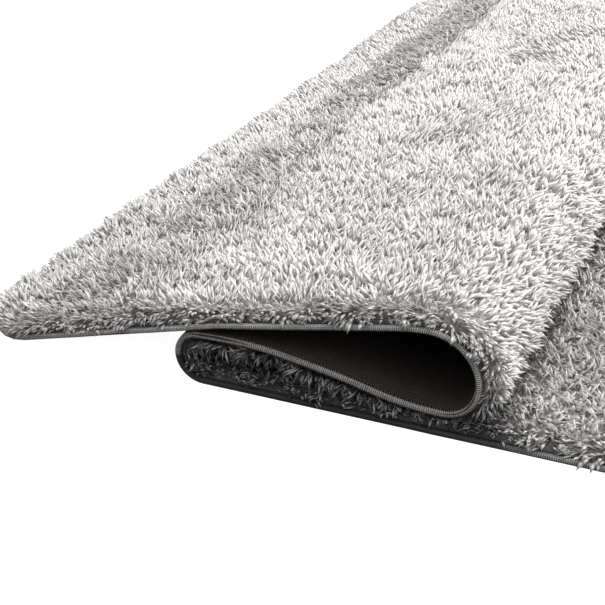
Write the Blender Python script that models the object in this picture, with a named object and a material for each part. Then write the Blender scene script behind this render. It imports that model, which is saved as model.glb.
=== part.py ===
"""A shag rug that lies folded back on itself in one S.

Three pieces follow the same folds: a woven backing, the pile that stands on it,
and the overlocked binding that runs round its edge. Each piece is worked out on
the flat rug, with s along its length, y across it and h up through its
thickness, and is then bent through the folds. Metres, +Z up.
"""

import math
from functools import lru_cache

import bmesh
import bpy
import numpy as np
from mathutils import Vector, noise

# The flat rug
RUG_LENGTH = 2.30
RUG_WIDTH = 1.60
CORNER_RADIUS = 0.070
CORNER_LINES = 4
GAP = 0.0003

# Binding: a rounded bead, open on its inner side, that wraps the backing's lip
BEAD_WIDTH = 0.0074
BEAD_HEIGHT = 0.0066
BEAD_WALL = 0.0010

# Backing: a sheet whose rim is thinned to a lip
BACKING_THICKNESS = 0.0038
LIP_BOTTOM = BEAD_WALL + GAP
LIP_TOP = 0.0028
RIM_INSET = BEAD_WIDTH + GAP
BACKING_LINES_ACROSS = 3

# Pile: a lumpy slab that rounds off towards its rim
PILE_HEIGHT = 0.0300
PILE_LINES_ACROSS = 22
LUMPS = (
    # name, size across, height
    ("broad", 0.160, 0.0080),
    ("fine", 0.070, 0.0100),
)
CROWN_INSET = 0.0050
CROWN_HEIGHT = 0.0180
SHOULDER_INSET = 0.0190
SHOULDER_WIDTH = 0.0260
SHOULDER_DROP = 0.0050

# Where two faces of pile meet, each stops short of the line halfway between them
SQUEEZED_SHARE = 0.86
SQUEEZED_GAP = 0.0010
SQUEEZE_STEP = 0.006

# Locks: four-sided points round the pile's rim, whose tips hang over the binding
LOCK_LINES_ACROSS = 42
LOCK_ROOT_HEIGHT = 0.0088
LOCK_ROOT_INSET = 0.0076
LOCK_REACH = (0.010, 0.019)
LOCK_TIP_HEIGHT = (0.0094, 0.0145)
LOCK_TIP_CLEARANCE = 0.0006
LOCK_SWAY = 0.35
LOCK_SEED = 7

# The rim line runs through the middle of the bead, this far above the underside
RIM_HEIGHT = BEAD_HEIGHT / 2

# The folds, from the right-hand end to the tip of the flap. Each row is a run or
# a bend of the rim line: its length in metres at the front and at the back edge,
# its turn in degrees there, to the left where positive, and how many strips of
# backing and pile and locks of its rim it holds. The flap is as long as it needs
# to be to come down to the floor, the settling bend levels it, and the tip takes
# the rest.
FOLDS = (
    # name, front length, back length, front turn, back turn, backing strips, pile strips, locks
    ("floor run", 1.2920, 1.2860, 0, 0, 5, 19, 38),
    ("first fold, lower", 0.0455, 0.0465, -90, -90, 6, 6, 6),
    ("first fold, upper", 0.0350, 0.0355, -86, -86, 6, 6, 6),
    ("crest", 0.1370, 0.1340, -16, -17, 5, 5, 5),
    ("slope", 0.0560, 0.0580, -2, -1, 2, 2, 2),
    ("dip", 0.0700, 0.0710, 14, 14, 4, 4, 4),
    ("second fold, lower", 0.0350, 0.0370, 64, 62, 5, 5, 5),
    ("second fold, side", 0.0362, 0.0372, 48, 50, 3, 3, 3),
    ("second fold, upper", 0.0605, 0.0625, 68, 68, 5, 5, 5),
    ("top bend", 0.0350, 0.0330, 11, 11, 2, 2, 2),
    ("top run", 0.1760, 0.1780, 0, 0, 2, 4, 6),
    ("flap bend", 0.0220, 0.0240, 4, 4, 1, 1, 1),
    ("flap", None, None, 0, 0, 3, 4, 7),
    ("settling bend", 0.0460, 0.0480, None, None, 0, 0, 0),
    ("tip", None, None, 0, 0, 0, 0, 0),
)
BACKING_STRIPS, PILE_STRIPS, LOCK_STRIPS = 5, 6, 7

# Colours and finishes
FINISHES = {
    # piece: colour, roughness
    "pile": ((0.52, 0.515, 0.51, 1.0), 0.6),
    "backing": ((0.040, 0.035, 0.031, 1.0), 0.9),
    "binding": ((0.17, 0.17, 0.175, 1.0), 0.7),
}
SHARP_ANGLE = math.radians(40)


def clear_scene():
    for item in list(bpy.data.objects):
        bpy.data.objects.remove(item, do_unlink=True)


def fabric(name):
    colour, roughness = FINISHES[name]
    material = bpy.data.materials.new(name)
    material.use_nodes = True
    shader = material.node_tree.nodes["Principled BSDF"]
    shader.inputs["Base Color"].default_value = colour
    shader.inputs["Roughness"].default_value = roughness
    shader.inputs["Metallic"].default_value = 0.0
    material.diffuse_color = colour
    return material


# The folds


def run_end(x, z, heading, length, turn):
    """Where a run or bend that starts at x, z ends, and its heading there."""
    after = heading + turn
    if abs(turn) < 1e-9:
        return x + length * math.cos(heading), z + length * math.sin(heading), after
    radius = length / turn
    x += radius * (math.sin(after) - math.sin(heading))
    z -= radius * (math.cos(after) - math.cos(heading))
    return x, z, after


@lru_cache(maxsize=None)
def section(y):
    """The runs and bends at y, each as its start s, x, z and heading, its length
    and its turn."""
    back = 0.5 - 0.5 * math.cos(math.pi * y / RUG_WIDTH)
    s, x, z, heading = 0.0, RUG_LENGTH / 2, RIM_HEIGHT, math.pi
    settling = [row for row in FOLDS if row[0] == "settling bend"][0]
    settling_length = settling[1] + (settling[2] - settling[1]) * back
    runs = []
    for name, front_length, back_length, front_turn, back_turn, *_ in FOLDS:
        if name == "settling bend":
            length, turn = settling_length, math.pi - heading
        elif name == "flap":
            drop = run_end(0.0, 0.0, heading, settling_length, math.pi - heading)[1]
            length, turn = (RIM_HEIGHT - z - drop) / math.sin(heading), 0.0
        elif name == "tip":
            length, turn = RUG_LENGTH - s, 0.0
        else:
            length = front_length + (back_length - front_length) * back
            turn = math.radians(front_turn + (back_turn - front_turn) * back)
        runs.append((s, x, z, heading, length, turn))
        x, z, heading = run_end(x, z, heading, length, turn)
        s += length
    return runs


def rim_line(s, y):
    """The rim line's x, z and heading at s, y."""
    run = [run for run in section(y) if run[0] <= max(s, 0.0) + 1e-9][-1]
    start, x, z, heading, length, turn = run
    share = (s - start) / length
    return run_end(x, z, heading, length * share, turn * share)


def bend(s, y, h):
    """The flat rug's point s, y, h bent through the folds. Its thickness grows to
    the right of the heading, where the pile stands."""
    x, z, heading = rim_line(s, y)
    rise = h - RIM_HEIGHT
    x += rise * math.sin(heading)
    z -= rise * math.cos(heading)
    return Vector((x, y, round(z, 7)))


@lru_cache(maxsize=None)
def root_line(y):
    """Points along the foot of the pile at y, for measuring how near its folds
    lie to each other."""
    steps = np.arange(0.0, RUG_LENGTH, SQUEEZE_STEP)
    return np.array([bend(s, y, BACKING_THICKNESS).xz[:] for s in steps])


def squeezed_height(s, y):
    """The most that the pile can stand at s, y: a share of the radius of the
    circle that touches the foot there and reaches the nearest other fold."""
    heading = rim_line(s, y)[2]
    upright = np.array((math.sin(heading), -math.cos(heading)))
    away = root_line(y) - np.array(bend(s, y, BACKING_THICKNESS).xz[:])
    facing = away @ upright
    ahead = facing > 1e-6
    if not ahead.any():
        return math.inf
    radius = ((away[ahead] ** 2).sum(axis=1) / (2 * facing[ahead])).min()
    return BACKING_THICKNESS + SQUEEZED_SHARE * radius - SQUEEZED_GAP


# The flat rug's lines


def spread(first, last, count):
    return [first + (last - first) * i / count for i in range(1, count + 1)]


def round_corner(s, y):
    """Pulls a point beyond a corner's centre in, so that the squares about that
    centre become circles."""
    u = s - min(max(s, CORNER_RADIUS), RUG_LENGTH - CORNER_RADIUS)
    v = y - min(max(y, CORNER_RADIUS), RUG_WIDTH - CORNER_RADIUS)
    if not u or not v:
        return s, y
    pull = max(abs(u), abs(v)) / math.hypot(u, v)
    return s - u + u * pull, y - v + v * pull


def lines_along(y, edge, strips):
    """The s of each line across the rug at y. The strips name the column of
    FOLDS that holds their number."""
    flap = [row[0] for row in FOLDS].index("flap")
    starts = [run[0] for run in section(y)]
    stops = [CORNER_RADIUS] + starts[1 : flap + 1] + [RUG_LENGTH - CORNER_RADIUS]
    lines = list(edge)
    for row, first, last in zip(FOLDS, stops, stops[1:]):
        lines += spread(first, last, row[strips])
    return lines + [RUG_LENGTH - inset for inset in reversed(edge[:-1])]


def flat_grid(inset, strips, across):
    """Rows of points s, y where the rug's lines cross, the outermost of them at
    the inset from its edge."""
    edge = [inset] + spread(inset, CORNER_RADIUS, CORNER_LINES)
    middle = spread(CORNER_RADIUS, RUG_WIDTH - CORNER_RADIUS, across)
    ys = edge + middle + [RUG_WIDTH - inset for inset in reversed(edge[:-1])]
    columns = [[(s, y) for s in lines_along(y, edge, strips)] for y in ys]
    return [[round_corner(*point) for point in row] for row in zip(*columns)]


def boundary(rows):
    """The outermost items of a grid's rows, in order round it."""
    right = rows[0]
    back = [row[-1] for row in rows[1:-1]]
    left = rows[-1][::-1]
    front = [row[0] for row in rows[-2:0:-1]]
    return list(right) + back + list(left) + front


# Meshes


def level(height):
    return lambda s, y: height


class Skin:
    """A closed surface that is put together from sheets, rings and bands."""

    def __init__(self):
        self.points = []
        self.faces = []

    def point(self, s, y, h):
        self.points.append(bend(s, y, h))
        return len(self.points) - 1

    def sheet(self, rows, height):
        """A face for each cell of a grid. Height is a function of s and y."""
        found = [[self.point(s, y, height(s, y)) for s, y in row] for row in rows]
        for row, after in zip(found, found[1:]):
            for i in range(len(row) - 1):
                self.faces.append((row[i], row[i + 1], after[i + 1], after[i]))
        return boundary(found)

    def ring(self, inset, height, strips, across):
        """A loop of points at the inset from the rug's edge. Height is a function
        of s and y."""
        rim = boundary(flat_grid(inset, strips, across))
        return [self.point(s, y, height(s, y)) for s, y in rim]

    def band(self, first, second):
        for i in range(len(first)):
            j = (i + 1) % len(first)
            self.faces.append((first[i], first[j], second[j], second[i]))

    def stitch(self, first, second):
        """Joins two rings with different numbers of points, both of which start
        at the same corner, always along the shorter diagonal."""
        i = j = 0
        while i < len(first) or j < len(second):
            a, b = first[i % len(first)], second[j % len(second)]
            next_a, next_b = first[(i + 1) % len(first)], second[(j + 1) % len(second)]
            on_first = (self.points[next_a] - self.points[b]).length
            on_second = (self.points[next_b] - self.points[a]).length
            if j == len(second) or (i < len(first) and on_first < on_second):
                self.faces.append((a, next_a, b))
                i += 1
            else:
                self.faces.append((a, next_b, b))
                j += 1

    def object(self, name):
        mesh = bpy.data.meshes.new(name)
        mesh.from_pydata(self.points, [], self.faces)
        form = bmesh.new()
        form.from_mesh(mesh)
        bmesh.ops.recalc_face_normals(form, faces=form.faces)
        form.to_mesh(mesh)
        form.free()
        mesh.materials.append(fabric(name))
        mesh.shade_smooth()
        mesh.set_sharp_from_angle(angle=SHARP_ANGLE)
        piece = bpy.data.objects.new(name, mesh)
        bpy.context.scene.collection.objects.link(piece)
        return piece


# Pieces


def make_backing():
    """The full-thickness sheet, thinned to a lip round its rim."""
    skin = Skin()
    sheet = flat_grid(RIM_INSET, BACKING_STRIPS, BACKING_LINES_ACROSS)
    underside = skin.sheet(sheet, level(0.0))
    top = skin.sheet(sheet, level(BACKING_THICKNESS))
    lip_inset = BEAD_WALL + GAP
    steps = (
        # inset, height
        (RIM_INSET, LIP_BOTTOM),
        (lip_inset, LIP_BOTTOM),
        (lip_inset, LIP_TOP),
        (RIM_INSET, LIP_TOP),
    )
    rings = [underside]
    rings += [
        skin.ring(inset, level(height), BACKING_STRIPS, BACKING_LINES_ACROSS)
        for inset, height in steps
    ]
    for ring, after in zip(rings, rings[1:] + [top]):
        skin.band(ring, after)
    return skin.object("backing")


def bead_profile():
    """The bead's cross-section as inset and height: round outside, and with a
    slot inside for the lip."""
    slot_top = LIP_TOP + GAP
    return (
        # inset, height
        (BEAD_WIDTH, 0.0),
        (0.24 * BEAD_WIDTH, 0.0),
        (0.05 * BEAD_WIDTH, 0.20 * BEAD_HEIGHT),
        (0.0, 0.50 * BEAD_HEIGHT),
        (0.07 * BEAD_WIDTH, 0.82 * BEAD_HEIGHT),
        (0.30 * BEAD_WIDTH, BEAD_HEIGHT),
        (0.72 * BEAD_WIDTH, BEAD_HEIGHT),
        (BEAD_WIDTH, 0.74 * BEAD_HEIGHT),
        (BEAD_WIDTH, slot_top),
        (BEAD_WALL, slot_top),
        (BEAD_WALL, BEAD_WALL),
        (BEAD_WIDTH, BEAD_WALL),
    )


def make_binding():
    skin = Skin()
    rings = [
        skin.ring(inset, level(height), BACKING_STRIPS, BACKING_LINES_ACROSS)
        for inset, height in bead_profile()
    ]
    for ring, after in zip(rings, rings[1:] + rings[:1]):
        skin.band(ring, after)
    return skin.object("binding")


def pile_top(s, y):
    """The height of the pile's lumpy top, a little lower near the rug's edge."""
    height = PILE_HEIGHT
    for _, size, rise in LUMPS:
        height += rise * noise.noise(Vector((s / size, y / size, size)))
    edge = min(s, y, RUG_LENGTH - s, RUG_WIDTH - y)
    past = min((edge - SHOULDER_INSET) / SHOULDER_WIDTH, 1.0)
    height -= SHOULDER_DROP * (1 - past) ** 2
    return min(height, squeezed_height(s, y))


def crown_height(s, y):
    return min(CROWN_HEIGHT, squeezed_height(s, y))


def lock_tips(rim):
    """The s, y, h of each lock's tip, off the middle of its side of the rim."""
    chance = np.random.default_rng(LOCK_SEED)
    tips = []
    for i, (s, y) in enumerate(rim):
        after_s, after_y = rim[(i + 1) % len(rim)]
        along = np.array((after_s - s, after_y - y))
        middle = np.array((s, y)) + along * (0.5 + LOCK_SWAY * chance.uniform(-0.5, 0.5))
        outwards = np.array((-along[1], along[0])) / np.hypot(*along)
        tip_s, tip_y = middle + outwards * chance.uniform(*LOCK_REACH)
        height = chance.uniform(*LOCK_TIP_HEIGHT)
        most = squeezed_height(float(middle[0]), float(middle[1])) - LOCK_TIP_CLEARANCE
        tips.append((float(tip_s), float(tip_y), min(height, most)))
    return tips


def make_pile():
    """The slab of tufts, with a lock on each stretch of its rim."""
    skin = Skin()
    coarse = (BACKING_STRIPS, BACKING_LINES_ACROSS)
    fine = (PILE_STRIPS, PILE_LINES_ACROSS)
    locks = (LOCK_STRIPS, LOCK_LINES_ACROSS)
    foot = skin.sheet(flat_grid(RIM_INSET, *coarse), level(BACKING_THICKNESS + GAP))
    wall = skin.ring(RIM_INSET, level(BEAD_HEIGHT + GAP), *coarse)
    roots = skin.ring(LOCK_ROOT_INSET, level(LOCK_ROOT_HEIGHT), *locks)
    crown = skin.ring(CROWN_INSET, crown_height, *locks)
    top = skin.sheet(flat_grid(SHOULDER_INSET, *fine), pile_top)
    skin.band(foot, wall)
    skin.stitch(wall, roots)
    skin.stitch(crown, top)
    tips = lock_tips(boundary(flat_grid(LOCK_ROOT_INSET, *locks)))
    for i, (s, y, h) in enumerate(tips):
        j = (i + 1) % len(tips)
        tip = skin.point(s, y, h)
        sides = (roots[i], roots[j], crown[j], crown[i])
        for k in range(4):
            skin.faces.append((sides[k], sides[(k + 1) % 4], tip))
    return skin.object("pile")


def centre(pieces):
    """Moves the pieces so that the middle of their common box is over the
    origin."""
    corners = np.array([v.co[:] for piece in pieces for v in piece.data.vertices])
    middle = (corners.min(axis=0) + corners.max(axis=0)) / 2
    for piece in pieces:
        for vertex in piece.data.vertices:
            vertex.co.x -= middle[0]
            vertex.co.y -= middle[1]


clear_scene()
centre([make_backing(), make_pile(), make_binding()])
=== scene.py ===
"""A long-pile shag rug that lies folded back on itself in one S.

The rug is worked out flat, with s along its length from the right-hand end, y across
it from the front edge and h up from its underside, and each point is then bent through
the folds. The woven backing, the overlocked binding and the bed of the pile are closed
meshes on those folds. Geometry Nodes sew the binding's stitches and plant the strands.
Metres, +Z up.
"""

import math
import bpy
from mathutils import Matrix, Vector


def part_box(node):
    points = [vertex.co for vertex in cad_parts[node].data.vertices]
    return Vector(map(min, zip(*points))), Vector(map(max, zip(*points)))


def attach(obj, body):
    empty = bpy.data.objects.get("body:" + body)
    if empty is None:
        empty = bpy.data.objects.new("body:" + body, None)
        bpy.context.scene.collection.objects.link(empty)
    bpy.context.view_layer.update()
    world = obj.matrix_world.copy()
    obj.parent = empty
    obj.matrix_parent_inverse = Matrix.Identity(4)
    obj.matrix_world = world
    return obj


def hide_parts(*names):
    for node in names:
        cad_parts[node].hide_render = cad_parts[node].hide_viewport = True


bl_info = {
    "name": "Folded Shag Rug",
    "version": (1, 0, 0),
    "blender": (4, 5, 0),
    "location": "View3D > Sidebar > Rug",
    "description": "Makes the backing, binding and pile of a shag rug, and the stage it lies on",
    "category": "Object",
}

from functools import lru_cache

import bmesh
import bpy
import numpy as np
from mathutils import Vector, noise

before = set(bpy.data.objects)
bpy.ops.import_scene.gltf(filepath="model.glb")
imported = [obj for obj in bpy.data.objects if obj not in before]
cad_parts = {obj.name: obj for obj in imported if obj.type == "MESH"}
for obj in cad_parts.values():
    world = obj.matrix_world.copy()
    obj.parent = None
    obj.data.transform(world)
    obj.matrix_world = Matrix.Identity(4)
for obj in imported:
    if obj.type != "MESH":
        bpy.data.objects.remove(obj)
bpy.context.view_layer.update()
BINDING_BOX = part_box("binding")

# The flat rug
RUG_LENGTH = 2.30
RUG_WIDTH = 1.60
CORNER_RADIUS = 0.070
GAP = 0.0003

# Binding and backing
BEAD_WIDTH = 0.0074
BEAD_HEIGHT = 0.0066
BEAD_WALL = 0.0010
BACKING_THICKNESS = 0.0038
LIP_BOTTOM = BEAD_WALL + GAP
LIP_TOP = 0.0028
RIM_INSET = BEAD_WIDTH + GAP
RIM_HEIGHT = BEAD_HEIGHT / 2

# Pile
PILE_HEIGHT = 0.0300
LUMPS = (
    # name, size across, height
    ("broad", 0.160, 0.0080),
    ("fine", 0.070, 0.0100),
)
# Where folds face each other: the pile's share of the room between, the gap it leaves,
# and how far apart along the rug the room is measured
SQUEEZED_SHARE = 0.86
SQUEEZED_GAP = 0.0010
SQUEEZE_STEP = 0.006

# Turns and lengths under this count as none
TINY = 1e-9
# What is less far in front of the foot than this counts as beside it
BESIDE = 1e-6
# Heights are rounded to this many digits, so that what lies on the floor lies at 0
HEIGHT_DIGITS = 7

# The folds, from the right-hand end to the tip of the flap, as in the solids: lengths in
# metres and turns in degrees, to the left where positive, at the front and back edges
FOLDS = (
    # name, front length, back length, front turn, back turn
    ("floor run", 1.2920, 1.2860, 0, 0),
    ("first fold, lower", 0.0455, 0.0465, -90, -90),
    ("first fold, upper", 0.0350, 0.0355, -86, -86),
    ("crest", 0.1370, 0.1340, -16, -17),
    ("slope", 0.0560, 0.0580, -2, -1),
    ("dip", 0.0700, 0.0710, 14, 14),
    ("second fold, lower", 0.0350, 0.0370, 64, 62),
    ("second fold, side", 0.0362, 0.0372, 48, 50),
    ("second fold, upper", 0.0605, 0.0625, 68, 68),
    ("top bend", 0.0350, 0.0330, 11, 11),
    ("top run", 0.1760, 0.1780, 0, 0),
    ("flap bend", 0.0220, 0.0240, 4, 4),
    ("flap", None, None, 0, 0),
    ("settling bend", 0.0460, 0.0480, None, None),
    ("tip", None, None, 0, 0),
)
FOLD_NAMES = [row[0] for row in FOLDS]

# The frame's middle is the middle of the rug's box, and the flat rug is drawn from its
# right-hand end and its front edge
SHIFT_X = BINDING_BOX[1].x - RUG_LENGTH / 2
SHIFT_Y = BINDING_BOX[0].y


# The folds


def run_end(x, z, heading, length, turn):
    """Where a run or bend that starts at x, z ends, and its heading there."""
    after = heading + turn
    if abs(turn) < TINY:
        return x + length * math.cos(heading), z + length * math.sin(heading), after
    radius = length / turn
    x += radius * (math.sin(after) - math.sin(heading))
    z -= radius * (math.cos(after) - math.cos(heading))
    return x, z, after


@lru_cache(maxsize=None)
def section(y):
    """The runs and bends at y, each as its start s, x, z and heading, its length
    and its turn."""
    back = 0.5 - 0.5 * math.cos(math.pi * y / RUG_WIDTH)
    s, x, z, heading = 0.0, RUG_LENGTH / 2, RIM_HEIGHT, math.pi
    settling = FOLDS[FOLD_NAMES.index("settling bend")]
    settling_length = settling[1] + (settling[2] - settling[1]) * back
    runs = []
    for name, front_length, back_length, front_turn, back_turn in FOLDS:
        if name == "settling bend":
            length, turn = settling_length, math.pi - heading
        elif name == "flap":
            drop = run_end(0.0, 0.0, heading, settling_length, math.pi - heading)[1]
            length, turn = (RIM_HEIGHT - z - drop) / math.sin(heading), 0.0
        elif name == "tip":
            length, turn = RUG_LENGTH - s, 0.0
        else:
            length = front_length + (back_length - front_length) * back
            turn = math.radians(front_turn + (back_turn - front_turn) * back)
        runs.append((s, x, z, heading, length, turn))
        x, z, heading = run_end(x, z, heading, length, turn)
        s += length
    return runs


@lru_cache(maxsize=None)
def fold_start(name, y=0.0):
    """Where a row of FOLDS starts along the rug at y."""
    return section(y)[FOLD_NAMES.index(name)][0]


def rim_line(s, y):
    """The rim line's x, z and heading at s, y."""
    run = [run for run in section(y) if run[0] <= max(s, 0.0) + TINY][-1]
    start, x, z, heading, length, turn = run
    part = (s - start) / length
    return run_end(x, z, heading, length * part, turn * part)


def bend(s, y, h):
    """The flat rug's point s, y, h bent through the folds. Its thickness grows to
    the right of the heading, where the pile stands."""
    x, z, heading = rim_line(s, y)
    rise = h - RIM_HEIGHT
    x += rise * math.sin(heading)
    z -= rise * math.cos(heading)
    return Vector((x + SHIFT_X, y + SHIFT_Y, round(z, HEIGHT_DIGITS)))


def directions(s, y):
    """The directions along the rug, across it and up from it at s, y, once folded."""
    heading = rim_line(s, y)[2]
    along = Vector((math.cos(heading), 0.0, math.sin(heading)))
    upright = Vector((math.sin(heading), 0.0, -math.cos(heading)))
    return along, Vector((0.0, 1.0, 0.0)), upright


@lru_cache(maxsize=None)
def root_line(y):
    """Points along the foot of the pile at y, for measuring how near its folds
    lie to each other."""
    steps = np.arange(0.0, RUG_LENGTH, SQUEEZE_STEP)
    return np.array([bend(s, y, BACKING_THICKNESS).xz[:] for s in steps])


@lru_cache(maxsize=None)
def squeezed_height(s, y):
    """The most that the pile can stand at s, y: a share of the radius of the
    circle that touches the foot there and reaches the nearest other fold."""
    heading = rim_line(s, y)[2]
    upright = np.array((math.sin(heading), -math.cos(heading)))
    away = root_line(y) - np.array(bend(s, y, BACKING_THICKNESS).xz[:])
    facing = away @ upright
    ahead = facing > BESIDE
    if not ahead.any():
        return math.inf
    radius = ((away[ahead] ** 2).sum(axis=1) / (2 * facing[ahead])).min()
    return BACKING_THICKNESS + SQUEEZED_SHARE * radius - SQUEEZED_GAP


# The flat rug's lines


def smooth_step(low, high, value):
    """0 up to low and 1 from high on, or the other way round where high is the less."""
    part = min(max((value - low) / (high - low), 0.0), 1.0)
    return part * part * (3 - 2 * part)


def drift(s, y, size, layer):
    """Smooth noise from about -1 to 1 with waves of a size, on a layer of its own."""
    return noise.noise(Vector((s / size, y / size, layer)))


def edge_distance(s, y):
    """The distance on the flat rug from its nearest edge."""
    return min(s, y, RUG_LENGTH - s, RUG_WIDTH - y)


def round_corner(s, y):
    """Pulls a point beyond a corner's centre in, so that the squares about that
    centre become circles."""
    u = s - min(max(s, CORNER_RADIUS), RUG_LENGTH - CORNER_RADIUS)
    v = y - min(max(y, CORNER_RADIUS), RUG_WIDTH - CORNER_RADIUS)
    if not u or not v:
        return s, y
    pull = max(abs(u), abs(v)) / math.hypot(u, v)
    return s - u + u * pull, y - v + v * pull


class Lines:
    """The spacing of a grid on the flat rug: how far its lines across the rug lie
    apart on its straight runs and on its bends, how far those along it lie apart, and
    how many there are in the width of a corner."""

    EDGE_CROWDING = 1.5

    def __init__(self, on_runs, on_bends, across, in_corner):
        self.on_runs = on_runs
        self.on_bends = on_bends
        self.across = across
        self.in_corner = in_corner

    def edge(self, inset):
        """Lines from the inset to the corner's centre, closer towards the edge."""
        width = CORNER_RADIUS - inset
        shares = [i / self.in_corner for i in range(self.in_corner + 1)]
        return [inset + width * share**self.EDGE_CROWDING for share in shares]

    def stops(self, y):
        """The places between the corners where the lines' spacing may change."""
        starts = [run[0] for run in section(y)]
        flap = FOLD_NAMES.index("flap")
        return [CORNER_RADIUS] + starts[1 : flap + 1] + [RUG_LENGTH - CORNER_RADIUS]

    def strips(self):
        """How many strips each row of FOLDS is cut into, up to the flap."""
        stops = self.stops(0.0)
        counts = []
        for row, first, last in zip(FOLDS, stops, stops[1:]):
            step = self.on_runs if row[0] in ("floor run", "top run") else self.on_bends
            counts.append(max(1, round((last - first) / step)))
        return counts

    def along(self, y, edge):
        """Every line across the rug, as its place s at y."""
        stops = self.stops(y)
        lines = list(edge)
        for count, first, last in zip(self.strips(), stops, stops[1:]):
            lines += [first + (last - first) * i / count for i in range(1, count + 1)]
        return lines + [RUG_LENGTH - inset for inset in reversed(edge[:-1])]

    def grid(self, inset):
        """Rows of points s, y where the lines cross, the outermost of them at the
        inset from the rug's edge."""
        edge = self.edge(inset)
        first, last = CORNER_RADIUS, RUG_WIDTH - CORNER_RADIUS
        count = round((last - first) / self.across)
        ys = edge + [first + (last - first) * i / count for i in range(1, count + 1)]
        ys += [RUG_WIDTH - inset for inset in reversed(edge[:-1])]
        columns = [[(s, y) for s in self.along(y, edge)] for y in ys]
        return [[round_corner(*point) for point in row] for row in zip(*columns)]


def boundary(rows):
    """The outermost items of a grid's rows, in order round it."""
    right = rows[0]
    back = [row[-1] for row in rows[1:-1]]
    left = rows[-1][::-1]
    front = [row[0] for row in rows[-2:0:-1]]
    return list(right) + back + list(left) + front


CLOTH_LINES = Lines(on_runs=0.060, on_bends=0.0045, across=0.120, in_corner=6)
PILE_LINES = Lines(on_runs=0.015, on_bends=0.0100, across=0.015, in_corner=7)


# Meshes and node trees

YARN_SIDES = 3
# Where most of a noise texture's values lie
NOISE_RANGE = (0.3, 0.7)


def level(height):
    """A height that is the same at every s, y."""
    return lambda s, y: height


def put_in_scene(name, mesh):
    piece = bpy.data.objects.new(name, mesh)
    bpy.context.scene.collection.objects.link(piece)
    return piece


def store(mesh, name, values):
    """Gives each point of a mesh its value, a number or a vector."""
    if isinstance(values[0], Vector):
        attribute = mesh.attributes.new(name, "FLOAT_VECTOR", "POINT")
        attribute.data.foreach_set("vector", np.array([value[:] for value in values]).ravel())
    else:
        attribute = mesh.attributes.new(name, "FLOAT", "POINT")
        attribute.data.foreach_set("value", values)


class Skin:
    """A surface that is put together from sheets and bands on the folded rug. It keeps
    each point's place on the flat rug for the weave's pattern."""

    def __init__(self):
        self.points = []
        self.flat = []
        self.faces = []

    def point(self, s, y, h):
        self.points.append(bend(s, y, h))
        self.flat.append((s / RUG_LENGTH, y / RUG_WIDTH))
        return len(self.points) - 1

    def sheet(self, rows, height):
        """A face for each cell of a grid. Height is a function of s and y."""
        found = [[self.point(s, y, height(s, y)) for s, y in row] for row in rows]
        for row, after in zip(found, found[1:]):
            for i in range(len(row) - 1):
                self.faces.append((row[i], row[i + 1], after[i + 1], after[i]))
        return boundary(found)

    def ring(self, lines, inset, height):
        """A ring of points at an inset from the rug's edge."""
        return [self.point(s, y, height) for s, y in boundary(lines.grid(inset))]

    def band(self, first, second):
        """Joins two rings with the same number of points."""
        for i in range(len(first)):
            j = (i + 1) % len(first)
            self.faces.append((first[i], first[j], second[j], second[i]))

    def join(self, first, second):
        """Joins two rings with different numbers of points, both of which start at the
        same corner, always along the shorter diagonal."""
        points = self.points
        i = j = 0
        while i < len(first) or j < len(second):
            a, b = first[i % len(first)], second[j % len(second)]
            next_a, next_b = first[(i + 1) % len(first)], second[(j + 1) % len(second)]
            on_first = (points[next_a] - points[b]).length
            on_second = (points[next_b] - points[a]).length
            if j == len(second) or (i < len(first) and on_first < on_second):
                self.faces.append((a, next_a, b))
                i += 1
            else:
                self.faces.append((a, next_b, b))
                j += 1

    def piece(self, name, material, sharp_angle=None):
        """Makes a piece of the surface, with its faces turned outwards."""
        mesh = bpy.data.meshes.new(name)
        mesh.from_pydata(self.points, [], self.faces)
        form = bmesh.new()
        form.from_mesh(mesh)
        bmesh.ops.recalc_face_normals(form, faces=form.faces)
        form.to_mesh(mesh)
        form.free()
        flat = mesh.uv_layers.new(name="Flat rug")
        for loop in mesh.loops:
            flat.data[loop.index].uv = self.flat[loop.vertex_index]
        mesh.materials.append(material)
        mesh.shade_smooth()
        if sharp_angle is not None:
            mesh.set_sharp_from_angle(angle=sharp_angle)
        return put_in_scene(name, mesh)


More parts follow.
